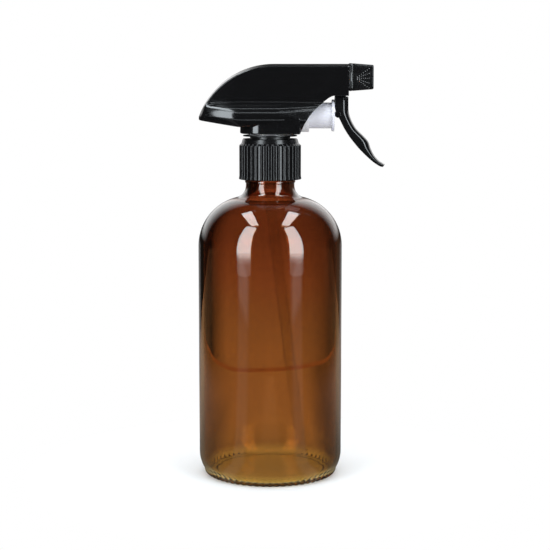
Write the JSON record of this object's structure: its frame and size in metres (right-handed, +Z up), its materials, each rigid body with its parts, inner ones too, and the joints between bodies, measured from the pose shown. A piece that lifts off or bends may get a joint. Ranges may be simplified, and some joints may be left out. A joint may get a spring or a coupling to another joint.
{
  "type": "spray bottle",
  "caption": "Amber glass bottle with round shoulders, a ribbed black screw collar and a trigger pump with a tapered shroud, square nozzle and dip tube.",
  "frame": {"origin": "centre of the bottle's base, on the plane it stands on", "axes": "+Z up along the bottle's axis, +X the way it sprays, +Y to the left of the sprayer as the user holds it"},
  "size_m": [0.0968, 0.075, 0.2151],
  "materials": {
    "amber_glass": "clear amber glass, fire polished",
    "black_collar": "moulded black polypropylene, satin gloss",
    "foam": "white foamed liner",
    "black_inner": "moulded black polyethylene",
    "clear_tube": "natural translucent polyethylene",
    "steel_ball": "polished stainless steel",
    "white_housing": "moulded white polypropylene",
    "white_piston": "natural cool white polyethylene",
    "soft_seal": "soft moulded seal",
    "spring_steel": "drawn stainless wire",
    "black_nozzle": "moulded black polypropylene, gloss",
    "black_trigger": "moulded black polypropylene, gloss",
    "black_shroud": "moulded black polypropylene, high gloss"
  },
  "bodies": {
    "bottle": {"bottle": "amber_glass"},
    "seal": {"neck_gasket": "foam"},
    "collar": {"screw_collar": "black_collar"},
    "head": {"pump_body": "white_housing", "shroud": "black_shroud", "tube_retainer": "black_inner", "dip_tube": "clear_tube", "channel_plug": "white_housing", "swirl_core": "white_housing"},
    "trigger": {"trigger": "black_trigger"},
    "piston": {"piston": "white_piston", "piston_cup": "soft_seal", "return_spring": "spring_steel"},
    "nozzle": {"nozzle_cap": "black_nozzle"},
    "inlet_valve": {"inlet_ball": "steel_ball"},
    "outlet_valve": {"outlet_ball": "steel_ball"}
  },
  "joints": [
    {"name": "head_lift", "type": "slide", "parent": "bottle", "child": "seal", "axis": [0, 0, 1], "range_m": [0, 0.00529]},
    {"name": "collar_turn", "type": "hinge", "parent": "seal", "child": "collar", "pos_m": [0, 0, 0.166], "axis": [0, 0, 1], "range_deg": [0, 450]},
    {"name": "head_swivel", "type": "hinge", "parent": "seal", "child": "head", "pos_m": [0, 0, 0.1739], "axis": [0, 0, 1], "continuous": true},
    {"name": "trigger_pull", "type": "hinge", "parent": "head", "child": "trigger", "pos_m": [0.036, 0, 0.207], "axis": [0, 1, 0], "range_deg": [0, 30]},
    {"name": "piston_stroke", "type": "slide", "parent": "head", "child": "piston", "axis": [-1, 0, 0], "range_m": [0, 0.00905], "stiffness_N_per_m": 400, "springref_m": -0.0052, "deforming": ["return_spring"]},
    {"name": "nozzle_turn", "type": "hinge", "parent": "head", "child": "nozzle", "pos_m": [0.047, 0, 0.208], "axis": [1, 0, 0], "continuous": true},
    {"name": "inlet_ball_lift", "type": "slide", "parent": "head", "child": "inlet_valve", "axis": [0, 0, 1], "range_m": [0, 0.0012]},
    {"name": "outlet_ball_lift", "type": "slide", "parent": "head", "child": "outlet_valve", "axis": [0, 0, 1], "range_m": [0, 0.001]}
  ],
  "couplings": [
    {"joint": "collar_turn", "follows": "head_lift", "rad_per_m": 1484.3},
    {"joint": "trigger_pull", "follows": "piston_stroke", "rad_per_m": 57.803}
  ]
}
